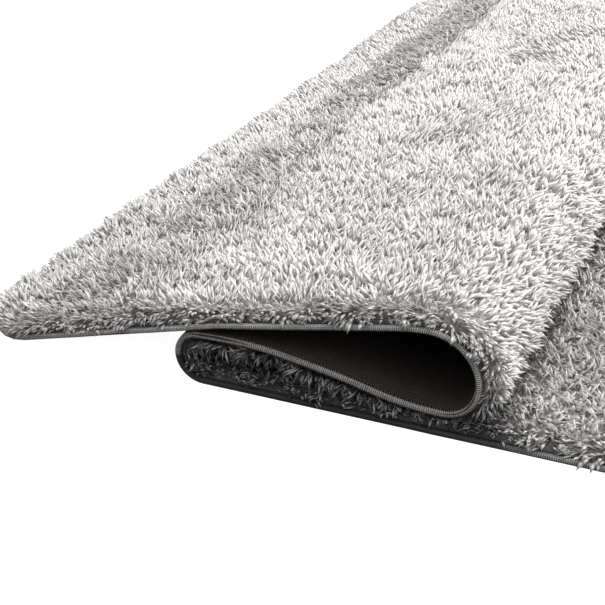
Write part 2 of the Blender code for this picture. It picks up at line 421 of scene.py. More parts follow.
class Nodes:
    """Adds nodes to a tree. An input is given by its name or number, and is either
    another node's output or a value."""

    def __init__(self, tree):
        self.tree = tree

    def add(self, kind, inputs=None, **settings):
        node = self.tree.nodes.new(kind)
        for name, value in settings.items():
            setattr(node, name, value)
        for key, value in (inputs or {}).items():
            if isinstance(value, bpy.types.NodeSocket):
                self.tree.links.new(value, node.inputs[key])
            else:
                node.inputs[key].default_value = value
        return node.outputs

    def math(self, operation, first, second=0.0):
        return self.add("ShaderNodeMath", {0: first, 1: second}, operation=operation)[0]

    def vector(self, operation, first, second):
        inputs = {0: first, 1: second}
        return self.add("ShaderNodeVectorMath", inputs, operation=operation)[0]

    def scaled(self, vector, amount):
        inputs = {0: vector, "Scale": amount}
        return self.add("ShaderNodeVectorMath", inputs, operation="SCALE")[0]

    def remap(self, value, low, high, to_low, to_high):
        inputs = {0: value, 1: low, 2: high, 3: to_low, 4: to_high}
        return self.add("ShaderNodeMapRange", inputs)[0]

    def xyz(self, x=0.0, y=0.0, z=0.0):
        return self.add("ShaderNodeCombineXYZ", {0: x, 1: y, 2: z})[0]

    def mixed(self, share, first, second, blend_type="MIX"):
        """A colour between two, which are given as sockets or as four numbers."""
        inputs = {0: share, 6: first, 7: second}
        return self.add("ShaderNodeMix", inputs, data_type="RGBA", blend_type=blend_type)[2]

    def noise(self, place, scale, detail=2.0):
        inputs = {"Vector": place, "Scale": scale, "Detail": detail}
        return self.add("ShaderNodeTexNoise", inputs)["Fac"]

    def bump(self, height, strength, distance):
        inputs = {"Height": height, "Strength": strength, "Distance": distance}
        return self.add("ShaderNodeBump", inputs)[0]

    def shaded(self, tint, shade_tint):
        """A colour that turns into a darker one, painted shade, by the mesh's own shade."""
        shade = self.add("ShaderNodeAttribute", attribute_name="shade")["Fac"]
        return self.mixed(shade, tint, shade_tint)


class GeometryTree(Nodes):
    """A Geometry Nodes tree with named inputs, which is run on a mesh and leaves a
    plain mesh."""

    # A random value's type, its first input and its output, by the type of its limits
    RANDOM_SOCKETS = {tuple: ("FLOAT_VECTOR", 0, 0), float: ("FLOAT", 2, 1), int: ("INT", 4, 2)}

    def __init__(self, name, inputs):
        super().__init__(bpy.data.node_groups.new(name, "GeometryNodeTree"))
        face = self.tree.interface
        face.new_socket("Geometry", in_out="INPUT", socket_type="NodeSocketGeometry")
        face.new_socket("Geometry", in_out="OUTPUT", socket_type="NodeSocketGeometry")
        for label, kind, default in inputs:
            socket = face.new_socket(label, in_out="INPUT", socket_type=kind)
            if default is not None:
                socket.default_value = default
        self.given = self.add("NodeGroupInput")

    def attribute(self, name, data_type="FLOAT"):
        return self.add("GeometryNodeInputNamedAttribute", {0: name}, data_type=data_type)[0]

    def chance(self, seed, low, high):
        """A random value between two vectors, two numbers or two whole numbers."""
        data_type, least, output = self.RANDOM_SOCKETS[type(low)]
        inputs = {least: low, least + 1: high, "Seed": seed}
        return self.add("FunctionNodeRandomValue", inputs, data_type=data_type)[output]

    def moved(self, geometry, place):
        inputs = {"Geometry": geometry, "Position": place}
        return self.add("GeometryNodeSetPosition", inputs)[0]

    def stored(self, geometry, name, value, data_type, domain):
        inputs = {"Geometry": geometry, "Name": name, "Value": value}
        kind = "GeometryNodeStoreNamedAttribute"
        return self.add(kind, inputs, data_type=data_type, domain=domain)[0]

    def yarn_section(self, radius):
        """The three-sided outline of a piece of yarn."""
        inputs = {"Resolution": YARN_SIDES, "Radius": radius}
        return self.add("GeometryNodeCurvePrimitiveCircle", inputs, mode="RADIUS")[0]

    def finish(self, geometry, material):
        inputs = {"Geometry": geometry, "Material": material}
        dressed = self.add("GeometryNodeSetMaterial", inputs)[0]
        self.add("NodeGroupOutput", {0: dressed})

    def run(self, source, name, **values):
        """Makes a piece of what the tree makes of the source, which is then removed.
        Values are the tree's inputs, with _ for a space in their names."""
        modifier = source.modifiers.new(name, "NODES")
        modifier.node_group = self.tree
        for socket in self.tree.interface.items_tree:
            given = values.get(socket.name.replace(" ", "_"))
            if socket.in_out == "INPUT" and given is not None:
                modifier[socket.identifier] = given
        depsgraph = bpy.context.evaluated_depsgraph_get()
        mesh = bpy.data.meshes.new_from_object(source.evaluated_get(depsgraph))
        mesh.name = name
        mesh.materials.clear()
        mesh.materials.append(values["Material"])
        old = source.data
        bpy.data.objects.remove(source, do_unlink=True)
        bpy.data.meshes.remove(old)
        return put_in_scene(name, mesh)


def keep_attributes(mesh, *names):
    """Drops what a tree left on its mesh, but for what Blender needs and these."""
    found = mesh.attributes
    kept = {a.name for a in found if a.is_required or a.is_internal}.union(names)
    for name in [a.name for a in found if a.name not in kept]:
        found.remove(found[name])


def new_material(name):
    """A material, its nodes and its shader."""
    material = bpy.data.materials.new(name)
    material.use_nodes = True
    shader = material.node_tree.nodes["Principled BSDF"]
    return material, Nodes(material.node_tree), shader


def plug(nodes, shader, **inputs):
    """Sets or joins the shader's inputs, with _ for a space in their names."""
    for name, value in inputs.items():
        socket = shader.inputs[name.replace("_", " ")]
        if isinstance(value, bpy.types.NodeSocket):
            nodes.tree.links.new(value, socket)
        else:
            socket.default_value = value


def opaque(colour, strength=1.0):
    """A colour, or a share of it, without transparency."""
    return (*(strength * part for part in colour), 1.0)


# What a user would change


def length_setting(name, default, description):
    return bpy.props.FloatProperty(
        name=name, description=description, default=default, min=0.0, unit="LENGTH",
        subtype="DISTANCE", precision=4,
    )


def share_setting(name, default, description):
    return bpy.props.FloatProperty(
        name=name, description=description, default=default, min=0.0, max=1.0,
        subtype="FACTOR",
    )


def number_setting(name, default, description):
    return bpy.props.FloatProperty(name=name, description=description, default=default)


def angle_setting(name, degrees, description):
    return bpy.props.FloatProperty(
        name=name, description=description, default=math.radians(degrees),
        subtype="ANGLE", unit="ROTATION",
    )


def colour_setting(name, default, description):
    return bpy.props.FloatVectorProperty(
        name=name, description=description, default=default, size=3, min=0.0, max=1.0,
        subtype="COLOR",
    )


def seed_setting(default):
    return bpy.props.IntProperty(
        name="Seed", description="Picks another arrangement", default=default, min=0
    )


class RugClothSettings(bpy.types.PropertyGroup):
    """The woven backing and the binding."""

    weave_pitch: length_setting("Weave pitch", 0.0038, "Distance between the backing's ribs")
    backing_dark: colour_setting("Backing, dark", (0.012, 0.0090, 0.0075), "Between its threads")
    backing_light: colour_setting("Backing, light", (0.145, 0.116, 0.097), "On its threads")
    stitch_pitch: length_setting("Stitch pitch", 0.0021, "Distance between overlocking stitches")
    stitch_thickness: length_setting("Stitch thickness", 0.00080, "Height of a stitch's yarn")
    binding_dark: colour_setting("Binding, dark", (0.110, 0.106, 0.101), "Between the stitches")
    binding_light: colour_setting("Binding, light", (0.760, 0.742, 0.717), "On the stitches")
    wobble: length_setting("Wobble", 0.0012, "How far the edge strays from a true line")


class RugPileSettings(bpy.types.PropertyGroup):
    """The pile's bed and strands."""

    bed_share: share_setting("Bed share", 0.56, "Height of the dense bed, as a share of the pile's")
    strand_length: length_setting("Strand length", 0.0205, "Length of a strand")
    strand_width: length_setting("Strand width", 0.0042, "Width of a strand where it is widest")
    strand_density: number_setting("Strand density", 58000.0, "Strands on a square metre of pile")
    spread: share_setting("Spread", 0.95, "How far strands stray from the way the pile lies")
    tilt: angle_setting("Tilt", 34.0, "How far strands lean over in the open pile")
    tip_colour: colour_setting("Tips", (0.855, 0.833, 0.815), "Colour of the strands' tips")
    root_colour: colour_setting("Roots", (0.83, 0.800, 0.776), "Colour of the strands' roots")
    seed: seed_setting(11)


class RugStageSettings(bpy.types.PropertyGroup):
    """The floor, the lights and the camera."""

    floor_colour: colour_setting("Floor", (0.92, 0.92, 0.92), "Colour of the floor")
    floor_glow: number_setting("Floor glow", 0.95, "Light that the floor gives off by itself")
    sky_strength: number_setting("Surrounding light", 2.07, "Strength of the light all round")
    key_power: number_setting("Main light", 66.0, "Power of the large light overhead, in watts")
    fill_power: number_setting("Fill light", 3.0, "Power of the light beside the camera, in watts")
    camera_azimuth: angle_setting("Camera azimuth", 22.88, "Turn to the left of straight back")
    camera_elevation: angle_setting("Camera elevation", 26.97, "How far the camera looks down")
    camera_height: length_setting("Camera height", 0.66, "Height of the camera over the floor")
    camera_x: length_setting("Camera x", 0.0220, "Place of the camera across the view")
    camera_back: length_setting("Camera back", 1.7835, "Distance of the camera from the middle")
    lens: number_setting("Lens", 75.1, "Focal length in millimetres on a 36 mm sensor")


# Backing

# Scales of the worn patches and of the fluff, on a map in which a rib is 1 wide, and the
# shares of the threads' light colour that they leave
WEAR_SCALE = 0.021
WEAR_RANGE = (0.65, 1.0)
FLUFF_SCALE = 0.9
FLUFF_RANGE = (0.7, 1.1)
BACKING_SHARP_ANGLE = math.radians(50)


def twill_material(cloth):
    """Dark cloth whose fine diagonal ribs are broken into dots by the crossing yarn."""
    material, nodes, shader = new_material("dark twill")
    place = nodes.add("ShaderNodeUVMap", uv_map="Flat rug")[0]
    pitch = cloth.weave_pitch
    scale = (RUG_LENGTH / pitch, RUG_WIDTH / pitch, 1.0)
    threads = nodes.add("ShaderNodeMapping", {"Vector": place, "Scale": scale})[0]
    s, y, _ = nodes.add("ShaderNodeSeparateXYZ", {0: threads})
    rib = nodes.math("SINE", nodes.math("MULTIPLY", nodes.math("ADD", s, y), math.pi))
    across = nodes.math("SINE", nodes.math("MULTIPLY", nodes.math("SUBTRACT", s, y), math.pi))
    rib, across = nodes.math("MULTIPLY", rib, rib), nodes.math("MULTIPLY", across, across)
    dot = nodes.math("MULTIPLY", rib, across)
    wear = nodes.noise(threads, WEAR_SCALE, detail=3.0)
    wear = nodes.remap(wear, *NOISE_RANGE, *WEAR_RANGE)
    fluff = nodes.remap(nodes.noise(threads, FLUFF_SCALE), *NOISE_RANGE, *FLUFF_RANGE)
    shown = nodes.math("MULTIPLY", nodes.math("MULTIPLY", dot, wear), fluff)
    tint = nodes.mixed(shown, opaque(cloth.backing_dark), opaque(cloth.backing_light))
    bump = nodes.bump(dot, strength=0.6, distance=0.0004)
    plug(nodes, shader, Base_Color=tint, Normal=bump, Roughness=0.85, Specular_IOR_Level=0.25)
    return material


def make_backing(cloth):
    """The full-thickness sheet, thinned to a lip that the binding holds."""
    skin = Skin()
    sheet = CLOTH_LINES.grid(RIM_INSET)
    underside = skin.sheet(sheet, level(0.0))
    top = skin.sheet(sheet, level(BACKING_THICKNESS))
    lip_inset = BEAD_WALL + GAP
    steps = (
        # inset, height
        (RIM_INSET, LIP_BOTTOM),
        (lip_inset, LIP_BOTTOM),
        (lip_inset, LIP_TOP),
        (RIM_INSET, LIP_TOP),
    )
    rings = [underside] + [skin.ring(CLOTH_LINES, *step) for step in steps]
    for ring, after in zip(rings, rings[1:] + [top]):
        skin.band(ring, after)
    return skin.piece("backing_cloth", twill_material(cloth), BACKING_SHARP_ANGLE)


# Binding

BEAD_SIDES = 12
# The direction outwards is taken over this distance
PROBE = 0.001

# The waves in which the edge strays, and the layers of drift that they are taken from
WOBBLE_WAVE = 0.09
OUT_LAYER = 0.0
UP_LAYER = 7.0

# Stitches. In their thicknesses: how far the core lies below their tops, and their
# yarn's radius. In their own sizes: the least and the largest across, up and along
CORE_DEPTH = 0.6
YARN_RADIUS = 0.65
STITCH_SWEEP = math.radians(290)
STITCH_SLANT = 0.16
STITCH_POINTS = 7
LEAST_STITCH = (0.95, 0.95, 2.3)
LARGEST_STITCH = (1.0, 1.0, 2.7)

# Scales and ranges of the binding's patterns, shares of its colours, its colour's share
# under the painted shade deep in the folds, and the share of it that its upper layers get
BLOTCH_SCALE = 60.0
BLOTCH_RANGE = (0.0, 0.6)
FIBRE_SCALE = 1500.0
FIBRE_RANGE = (0.0, 0.4)
CORE_FIBRE_SCALE = 900.0
YARN_DARK = 0.62
CORE_LIGHT = 1.8
BINDING_SHADE = 0.020
MIDDLE_SHADE = 0.35


def fold_shade_colour(cloth):
    """The binding's colour under the full painted shade deep in the folds."""
    return opaque(cloth.binding_light, BINDING_SHADE)


def binding_material(cloth):
    """Soft grey yarn, blotched and fibrous, with painted shade deep in the folds."""
    material, nodes, shader = new_material("overlocking yarn")
    place = nodes.add("ShaderNodeTexCoord")["Object"]
    fibre = nodes.noise(place, FIBRE_SCALE)
    blotches = nodes.remap(nodes.noise(place, BLOTCH_SCALE), *NOISE_RANGE, *BLOTCH_RANGE)
    fibres = nodes.remap(fibre, *NOISE_RANGE, *FIBRE_RANGE)
    tone = nodes.math("ADD", blotches, fibres)
    light = cloth.binding_light
    tint = nodes.mixed(tone, opaque(light, YARN_DARK), opaque(light))
    # Painted shade deep in the folds
    tint = nodes.shaded(tint, fold_shade_colour(cloth))
    bump = nodes.bump(fibre, strength=0.5, distance=0.0002)
    plug(nodes, shader, Base_Color=tint, Normal=bump, Roughness=0.55, Sheen_Weight=0.2)
    return material


def core_material(cloth):
    """The yarn between the stitches, dark as painted shade, with painted shade deep in the folds.
    """
    material, nodes, shader = new_material("binding core")
    place = nodes.add("ShaderNodeTexCoord")["Object"]
    dark = cloth.binding_dark
    fibre = nodes.noise(place, CORE_FIBRE_SCALE)
    tint = nodes.mixed(fibre, opaque(dark), opaque(dark, CORE_LIGHT))
    # Painted shade deep in the folds
    tint = nodes.shaded(tint, fold_shade_colour(cloth))
    plug(nodes, shader, Base_Color=tint, Roughness=0.8)
    return material


def edge_stray(cloth, s, y):
    """How far the edge strays outwards and upwards at s, y. It never sinks below
    where it rests."""
    out = cloth.wobble * drift(s, y, WOBBLE_WAVE, OUT_LAYER)
    up = cloth.wobble * abs(drift(s, y, WOBBLE_WAVE, UP_LAYER))
    return out, up


def rim_places(cloth, lines):
    """The middle of the bead at each line round the rim, with its directions outwards
    and upwards and the painted shade that the folds over it give, from 0 to 1."""
    inner = boundary(lines.grid(BEAD_WIDTH / 2 + PROBE))
    middle = boundary(lines.grid(BEAD_WIDTH / 2))
    places = []
    for (s, y), (inner_s, inner_y) in zip(middle, inner):
        _, _, upright = directions(s, y)
        centre = bend(s, y, RIM_HEIGHT)
        outwards = centre - bend(inner_s, inner_y, RIM_HEIGHT)
        outwards = (outwards - upright * outwards.dot(upright)).normalized()
        out, up = edge_stray(cloth, s, y)
        centre += outwards * out + upright * up
        # Painted shade: full on the floor run, a share of it on the upper layers
        shade = shade_at(s, y) * (MIDDLE_SHADE + (1 - MIDDLE_SHADE) * on_floor(s, y))
        places.append((centre, outwards, upright, shade))
    return places


def make_binding_core(cloth):
    """The closed bead under the stitches."""
    skin = Skin()
    sunk = CORE_DEPTH * cloth.stitch_thickness
    half_width, half_height = BEAD_WIDTH / 2 - sunk, BEAD_HEIGHT / 2 - sunk
    turns = [2 * math.pi * i / BEAD_SIDES for i in range(BEAD_SIDES)]
    rings = [[] for _ in turns]
    shades = []
    for centre, outwards, upright, shade in rim_places(cloth, CLOTH_LINES):
        shades += [shade] * BEAD_SIDES
        for ring, turn in zip(rings, turns):
            across = outwards * half_width * math.cos(turn)
            skin.points.append(centre + across + upright * half_height * math.sin(turn))
            skin.flat.append((0.0, 0.0))
            ring.append(len(skin.points) - 1)
    for ring, after in zip(rings, rings[1:] + rings[:1]):
        skin.band(ring, after)
    core = skin.piece("binding_core", core_material(cloth))
    # Each point's painted shade, which the core's colour takes
    store(core.data, "shade", shades)
    return core


def stitch_tree():
    """Stitches that wrap the bead, evenly spaced along the rim line."""
    tree = GeometryTree(
        "Overlocking stitches",
        (
            ("Pitch", "NodeSocketFloat", 0.0021),
            ("Half width", "NodeSocketFloat", 0.0037),
            ("Half height", "NodeSocketFloat", 0.0033),
            ("Yarn", "NodeSocketFloat", 0.0008),
            ("Sweep", "NodeSocketFloat", STITCH_SWEEP),
            ("Slant", "NodeSocketFloat", STITCH_SLANT),
            ("Seed", "NodeSocketInt", 1),
            ("Material", "NodeSocketMaterial", None),
        ),
    )
    given = tree.given
    line = tree.add("GeometryNodeMeshToCurve", {0: given["Geometry"]})[0]
    inputs = {"Curve": line, "Length": given["Pitch"]}
    stops = tree.add("GeometryNodeResampleCurve", inputs, mode="LENGTH")[0]
    start = tree.math("MULTIPLY", given["Sweep"], -0.5)
    arc = tree.add(
        "GeometryNodeCurveArc",
        {
            "Resolution": STITCH_POINTS,
            "Radius": 1.0,
            "Start Angle": start,
            "Sweep Angle": given["Sweep"],
        },
    )[0]
    radius = tree.math("MULTIPLY", given["Yarn"], YARN_RADIUS)
    half_width = tree.math("SUBTRACT", given["Half width"], radius)
    half_height = tree.math("SUBTRACT", given["Half height"], radius)
    place = tree.add("GeometryNodeInputPosition")[0]
    arc = tree.moved(arc, tree.vector("MULTIPLY", place, tree.xyz(half_width, half_height, 1.0)))
    inputs = {"Curve": arc, "Profile Curve": tree.yarn_section(radius), "Fill Caps": True}
    stitch = tree.add("GeometryNodeCurveToMesh", inputs)[0]
    tangent = tree.add("GeometryNodeInputTangent")[0]
    inputs = {0: tangent, 1: tree.attribute("outwards", "FLOAT_VECTOR")}
    turn = tree.add("FunctionNodeAxesToRotation", inputs, primary_axis="Z", secondary_axis="X")[0]
    inputs = {"Axis": (0.0, 1.0, 0.0), "Angle": given["Slant"]}
    slant = tree.add("FunctionNodeAxisAngleToRotation", inputs)[0]
    inputs = {0: turn, 1: slant}
    turn = tree.add("FunctionNodeRotateRotation", inputs, rotation_space="LOCAL")[0]
    uneven = tree.chance(given["Seed"], LEAST_STITCH, LARGEST_STITCH)
    inputs = {"Points": stops, "Instance": stitch, "Rotation": turn, "Scale": uneven}
    stitches = tree.add("GeometryNodeInstanceOnPoints", inputs)[0]
    stitches = tree.add("GeometryNodeRealizeInstances", {0: stitches})[0]
    stitches = tree.add("GeometryNodeSetShadeSmooth", {0: stitches})[0]
    tree.finish(stitches, given["Material"])
    return tree


def make_stitches(cloth):
    """The overlocking stitches, sewn along a line through the middle of the bead."""
    places = rim_places(cloth, CLOTH_LINES)
    count = len(places)
    mesh = bpy.data.meshes.new("rim line")
    edges = [(i, (i + 1) % count) for i in range(count)]
    mesh.from_pydata([place[0] for place in places], edges, [])
    store(mesh, "outwards", [place[1] for place in places])
    # Each point's painted shade, which the stitches' colour takes
    store(mesh, "shade", [place[3] for place in places])
    stitches = stitch_tree().run(
        put_in_scene("rim line", mesh),
        "binding_stitches",
        Pitch=cloth.stitch_pitch,
        Half_width=BEAD_WIDTH / 2,
        Half_height=BEAD_HEIGHT / 2,
        Yarn=cloth.stitch_thickness,
        Sweep=STITCH_SWEEP,
        Material=binding_material(cloth),
    )
    keep_attributes(stitches.data, "shade")
    return stitches


# Pile

# The bed: its rounding towards the rim, its lumps and its height at the rim
BED_ROUNDING = 0.020
BED_LUMPS = (
    # name, size across, height
    ("tufts", 0.028, 0.0050),
    ("small tufts", 0.013, 0.0030),
)
BED_EDGE = 0.0075

# Shares of the roots' colour in its dark and light yarn, darker as painted shade among the
# strands, and under the full painted shade deep in the folds, where it gets painted shade at
# the rim, and the scales and ranges of its streaks and tufts
BED_DARK = 0.16
BED_LIGHT = 0.72
BED_FULL_SHADE = 0.10
BED_RIM = (0.008, 0.024)
BED_RIM_SHADE = 0.50
STREAK_SCALE = 420.0
STREAK_STRETCH = (1.0, 0.35, 1.0)
STREAK_RANGE = (0.35, 0.65)
TUFT_SCALE = 45.0
TUFT_RANGE = (0.3, 1.0)

# Squeezed heights between which the pile turns from covered to open
COVERED = (0.0245, 0.0330)


def pile_top(s, y):
    """The height of the open pile's lumpy top, as in the solids."""
    return PILE_HEIGHT + sum(rise * drift(s, y, size, size) for _, size, rise in LUMPS)


def rounded(s, y, height):
    """A height that falls away in a quarter round towards the rim."""
    past = min((edge_distance(s, y) - RIM_INSET) / BED_ROUNDING, 1.0)
    return BED_EDGE + (height - BED_EDGE) * math.sqrt(max(0.0, 1 - (1 - past) ** 2))


def bed_height(pile, s, y):
    """The top of the dense bed in which the strands stand."""
    height = BACKING_THICKNESS + pile.bed_share * (pile_top(s, y) - BACKING_THICKNESS)
    for _, size, rise in BED_LUMPS:
        height += rise * drift(s, y, size, size)
    height = rounded(s, y, height)
    return max(min(height, squeezed_height(s, y)), BACKING_THICKNESS + 2 * GAP)


def bed_material(pile):
    """Yarn darker than the strands as painted shade among them, streaked as packed strands are."""
    material, nodes, shader = new_material("pile bed")
    place = nodes.add("ShaderNodeTexCoord")["Object"]
    inputs = {"Vector": place, "Scale": STREAK_STRETCH}
    stretched = nodes.add("ShaderNodeMapping", inputs)[0]
    streak = nodes.noise(stretched, STREAK_SCALE, detail=3.0)
    streaks = nodes.remap(streak, *STREAK_RANGE, 0.0, 1.0)
    tufts = nodes.remap(nodes.noise(place, TUFT_SCALE), *NOISE_RANGE, *TUFT_RANGE)
    tone = nodes.math("MULTIPLY", streaks, tufts)
    root = pile.root_colour
    tint = nodes.mixed(tone, opaque(root, BED_DARK), opaque(root, BED_LIGHT))
    # Painted shade deep in the folds and at the rim
    tint = nodes.shaded(tint, opaque(root, BED_FULL_SHADE))
    bump = nodes.bump(streak, strength=0.9, distance=0.002)
    plug(nodes, shader, Base_Color=tint, Normal=bump, Roughness=0.8)
    return material


def shade_at(s, y):
    """How deep in the folds the pile at s, y lies, from 0 in the open to 1; also its painted shade.
    """
    return 1.0 - smooth_step(*COVERED, squeezed_height(s, y))


def rim_shade(s, y):
    """How shaded the bed is near its rim, where the outermost strands hang over it."""
    return BED_RIM_SHADE * (1.0 - smooth_step(*BED_RIM, edge_distance(s, y)))


def make_bed(pile):
    """The dense lower part of the pile, closed by its foot on the backing."""
    skin = Skin()
    foot = skin.sheet(CLOTH_LINES.grid(RIM_INSET), level(BACKING_THICKNESS + GAP))
    top = skin.sheet(PILE_LINES.grid(RIM_INSET), lambda s, y: bed_height(pile, s, y))
    skin.join(foot, top)
    bed = skin.piece("pile_bed", bed_material(pile))
    places = [(s * RUG_LENGTH, y * RUG_WIDTH) for s, y in skin.flat]
    # Painted shade deep in the folds and at the rim
    shades = [max(shade_at(s, y), rim_shade(s, y)) for s, y in places]
    store(bed.data, "shade", shades)
    return bed


# How the strands lie

# Layers of drift, one for each thing that it varies
SWIRL_LAYER = 3.0
BAND_LAYER = 5.0
TILT_LAYER = 9.0
RIM_LAYER = 13.0
EDDY_LAYER = 21.0

# The lay: the sizes of its broad swirls and of the eddies in them, and their turns
SWIRL = 0.20
SWIRL_TURN = math.radians(110)
EDDY = 0.055
EDDY_TURN = math.radians(75)

# The dark band across the flap: its middle and its width, the shares of that within
# which it is full and past which it ends, and the waves in which its middle strays
BAND_FROM_TIP = 0.150
BAND_WIDTH = 0.120
BAND_FADE = (0.2, 0.7)
BAND_WAVE = 0.2
BAND_STRAY = 0.02

# The lean down the second fold's side: how far past the fold it ends, how far before
# the top run it is full, how far before the fold it starts, its way and its share
FOLD_LEAN = 0.11
FOLD_START = 0.03
FOLD_RISE = 0.02
FOLD_WAY = (-1.0, 0.30)
FOLD_SHARE = 0.20

# The flap's tip, by the distance from it: where strands lie along the rug, and where
# those at the rim turn less to the side and are longer
TIP_LEAN = (0.16, 0.05)
TIP_WAY = (1.0, 0.25)
TIP_SHARE = 0.75
TIP_HANG = (0.14, 0.07)
TIP_ASIDE = 0.60
TIP_REACH = 0.20

# The edges, by the distance from them: where strands lean outwards, where the outermost
# ones stand, which turn aside in tufts, how much painted shade they get, and where the rug's
# ends are near
EDGE_LEAN = (0.040, 0.008)
EDGE_PULL = 0.02
RIM = (0.011, 0.024)
RIM_TUFT = 0.011
RIM_TURN = math.radians(82)
RIM_SHARPNESS = 5
RIM_REACH = 0.82
# Painted shade on the outermost strands
RIM_SHADE = 0.16
END = (0.09, 0.03)
END_LEAN = 0.5
END_REACH = 0.60

# How far strands lean over on the floor, how much more in the back and less on the flap,
# how far at the front and back edges and there on the flap, at the rim and at the ends,
# how unevenly, and where the back starts and is reached
FLOOR_TILT = math.radians(20)
BACK_TILT = math.radians(18)
FLAP_RISE = math.radians(8)
FRONT_TILT = math.radians(16)
FLAP_TILT = math.radians(34)
RIM_TILT = math.radians(70)
END_TILT = math.radians(62)
UNEVEN_TILT = math.radians(14)
UNEVEN_WAVE = 0.06
BACK = (0.35, 0.95)

# How far strands stray at the edges and the ends, and how much less in the back
EDGE_SPREAD = 0.38
END_SPREAD = 0.22
BACK_SPREAD = 0.45

# Strands that a fold covers: how they lean and stray, how much more room they take and
# how much thinner they are. The room is a share of the circle's radius between folds
COVERED_TILT = math.radians(46)
COVERED_SPREAD = 0.75
COVERED_ROOM = 1.35
COVERED_THINNING = 0.35
ROOM_SHARE = 1.6
LEAST_REACH = 0.2

# Planting: up to how far from the edges the folds' strands show, how far before the
# first fold the floor run starts to have fewer and has the fewest, how many those are,
# how many the rim has and where, and how deep in the bed strands start, also at the rim
COVERED_EDGE = (0.055, 0.085)
FAR_FLOOR = (0.25, 0.60)
FAR_PLENTY = 0.42
EDGE_PLENTY = 2.6
CROWDED_RIM = (0.013, 0.023)
PLANTING_INSET = RIM_INSET + 0.0004
ROOT_DEPTH = 0.0035
RIM_ROOT_DEPTH = 0.3

# How much painted shade the pile gets in front, the share of that off the flap, where a
# painted sheen takes it away towards the back, and the length over which the flap begins
OFF_SHEEN_SHADE = 0.27
OFF_SHEEN_SHARE = 0.36
PAINTED_SHEEN = (0.10, 0.80)
FLAP_SPAN = 0.20

# A strand's shape, with its bends and its radius as shares of its length and width, how
# its size, its brightness, its share of the painted shade and its way vary, and how softly the
# floor stops it
STRAND_BENDS = (0.10, 0.28, 0.46)
STRAND_POINTS = 3
STRAND_RADIUS = 0.58
WIDEST_AT = 0.68
FLATNESS = 0.48
SEAM = 0.00001
THICKNESSES = (0.55, 1.2)
SHORTEST = 0.60
LONGEST = 1.25
TONES = (0.86, 1.0)
SHADINGS = (0.55, 0.98)
STRAY = 0.8
CLUMP_SIZE = 0.017
CLUMPING = 2.3
FLOOR_EASE = 0.003

# A strand's map: its span for the tones, which hold the painted shade, a step for each corner
# of a face and its two ends, where along it the roots' colour turns into the tips', and the
# range of its tones, whose low end is the deepest painted shade
MAP_SPAN = 0.94
MAP_STEP = 0.012
MAP_ENDS = (0.01, 0.99)
TIP_COLOUR_AT = (0.10, 0.60)
BRIGHTNESS = (0.02, 1.05)

# Seeds of the random draws, one for each thing that they vary
STRAY_SEED = 5
THICKNESS_SEED = 6
LENGTH_SEED = 7
TONE_SEED = 8
SHAPE_SEED = 9
SHADING_SEED = 10


def outwards_at(s, y):
    """The direction on the flat rug towards its nearest edge, blended near corners."""
    pulls = (
        (s, (-1.0, 0.0)),
        (RUG_LENGTH - s, (1.0, 0.0)),
        (y, (0.0, -1.0)),
        (RUG_WIDTH - y, (0.0, 1.0)),
    )
    out = Vector((0.0, 0.0))
    for distance, way in pulls:
        out += Vector(way) * math.exp(-max(distance, 0.0) / EDGE_PULL)
    return out.normalized() if out.length > TINY else Vector((0.0, -1.0))


def on_flap(s, y):
    """How far s, y lies out on the flap, from 0 at its bend to 1."""
    return smooth_step(0.0, FLAP_SPAN, s - fold_start("flap bend", y))


def at_rim(s, y):
    """How near s, y lies to the binding, from 0 to 1 at the outermost strands."""
    return 1.0 - smooth_step(*RIM, edge_distance(s, y))


def at_end(s):
    """How near s lies to the nearer of the rug's ends, from 0 to 1."""
    return smooth_step(*END, min(s, RUG_LENGTH - s))


def near_tip(s):
    """How near s lies to the flap's tip, from 0 to 1, where the rim's strands hang
    farther over and turn less to the side."""
    return smooth_step(*TIP_HANG, RUG_LENGTH - s)


def down_fold(s, y):
    """How far s, y lies on the second fold's side, from 0 to 1."""
    over = fold_start("top run", y)
    lower, side = fold_start("second fold, lower", y), fold_start("second fold, side", y)
    before = smooth_step(over + FOLD_LEAN, over - FOLD_START, s)
    return before * smooth_step(lower - FOLD_RISE, side, s)


def on_floor(s, y):
    """1 on the floor run and 0 past the first fold."""
    return 1.0 if s < fold_start("first fold, upper", y) else 0.0


def in_band(s, y):
    """How far s, y lies in the darker band across the flap, from 0 to 1."""
    stray = BAND_STRAY * noise.noise(Vector((y / BAND_WAVE, BAND_LAYER, 0.0)))
    middle = RUG_LENGTH - BAND_FROM_TIP + stray
    core, fade = [share * BAND_WIDTH for share in BAND_FADE]
    return 1.0 - smooth_step(core, fade, abs(s - middle))


def way_at(s, y):
    """The way the pile lies at s, y on the flat rug. It swirls, with eddies in the
    swirls. It lies towards the front on the floor and in the flap's dark band and
    towards the back elsewhere, leans a little down the second fold's side, lies mostly
    along the rug at the flap's tip, and turns outwards in tufts at the rim."""
    swirl = SWIRL_TURN * drift(s, y, SWIRL, SWIRL_LAYER)
    swirl += EDDY_TURN * drift(s, y, EDDY, EDDY_LAYER)
    swirl += math.pi * max(on_floor(s, y), in_band(s, y))
    way = Vector((-math.sin(swirl), math.cos(swirl)))
    way = way.lerp(Vector(FOLD_WAY), FOLD_SHARE * down_fold(s, y))
    tip = smooth_step(*TIP_LEAN, RUG_LENGTH - s)
    way = way.lerp(Vector(TIP_WAY), TIP_SHARE * tip)
    near = smooth_step(*EDGE_LEAN, edge_distance(s, y)) * (1 - END_LEAN * at_end(s))
    out = outwards_at(s, y)
    side = RIM_SHARPNESS * drift(s, y, RIM_TUFT, RIM_LAYER)
    aside = RIM_TURN * min(max(side, -1.0), 1.0) * (1 - TIP_ASIDE * near_tip(s))
    turn = math.atan2(out.y, out.x) + aside * at_rim(s, y) * (1 - at_end(s))
    return way.lerp(Vector((math.cos(turn), math.sin(turn))), near).normalized()


